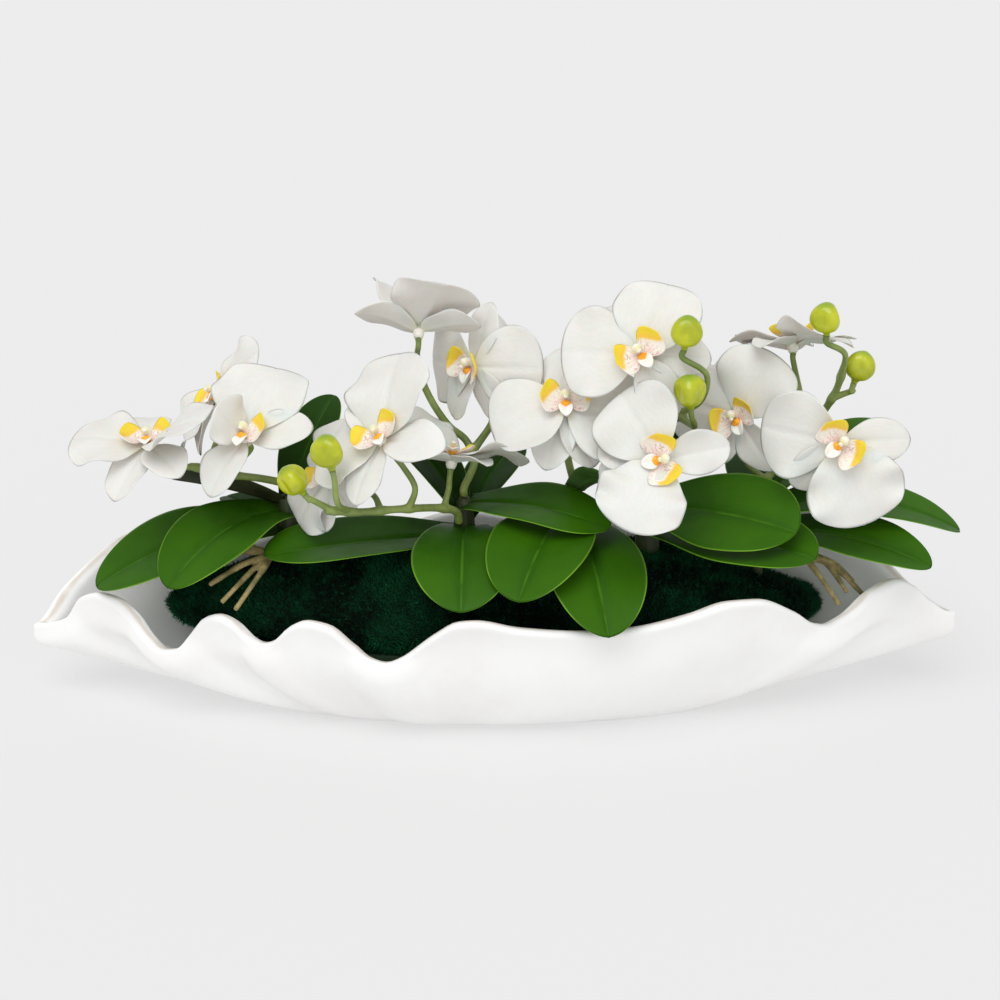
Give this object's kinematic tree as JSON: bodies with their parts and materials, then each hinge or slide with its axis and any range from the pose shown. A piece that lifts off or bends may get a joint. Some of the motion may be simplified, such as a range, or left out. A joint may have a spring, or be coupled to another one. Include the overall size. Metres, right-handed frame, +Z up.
{
  "type": "potted orchid",
  "caption": "Long boat-shaped ceramic bowl with a ruffled rim, planted with white moth orchids: strap leaves, flower stems, buds, aerial roots and a mound of moss.",
  "frame": {"origin": "middle of the bowl's flat foot, on the surface it stands on", "axes": "+X along the bowl's length to the end with the long single leaf, -Y to the front, +Z up"},
  "size_m": [0.5704, 0.1861, 0.2676],
  "materials": {
    "bowl": "satin white glaze, brown-gold line on the rim",
    "foam": "matt foam, hidden under the moss",
    "moss": "short dark green fibres",
    "crown": "satin green sheath",
    "leaf": "satin green with a paler edge and midrib",
    "petal": "soft matt white, yellow and pink-brown lip",
    "bud": "glossy lime green",
    "stem": "satin olive green",
    "root": "matt tan brown"
  },
  "bodies": {
    "root": {"bowl": "bowl", "bud_left_1": "bud", "bud_left_2": "bud", "bud_middle_1": "bud", "bud_middle_2": "bud", "bud_right_1": "bud", "bud_right_2": "bud", "crown_centre": "crown", "crown_far_right": "crown", "crown_left": "crown", "crown_middle": "crown", "crown_right": "crown", "flower_01": "petal", "flower_02": "petal", "flower_03": "petal", "flower_04": "petal", "flower_05": "petal", "flower_06": "petal", "flower_07": "petal", "flower_08": "petal", "flower_09": "petal", "flower_10": "petal", "flower_11": "petal", "flower_12": "petal", "flower_13": "petal", "flower_14": "petal", "flower_15": "petal", "foam_block": "foam", "leaf_centre_1": "leaf", "leaf_centre_2": "leaf", "leaf_centre_3": "leaf", "leaf_far_right_1": "leaf", "leaf_far_right_2": "leaf", "leaf_far_right_3": "leaf", "leaf_far_right_4": "leaf", "leaf_left_1": "leaf", "leaf_left_2": "leaf", "leaf_left_3": "leaf", "leaf_left_4": "leaf", "leaf_left_5": "leaf", "leaf_middle_1": "leaf", "leaf_middle_2": "leaf", "leaf_middle_3": "leaf", "leaf_middle_4": "leaf", "leaf_middle_5": "leaf", "leaf_right_1": "leaf", "leaf_right_2": "leaf", "leaf_right_3": "leaf", "moss_mound": "moss", "roots_left": "root", "roots_right": "root", "spike_centre": "stem", "spike_front": "stem", "spike_left": "stem", "spike_middle": "stem", "spike_right": "stem"}
  },
  "joints": []
}
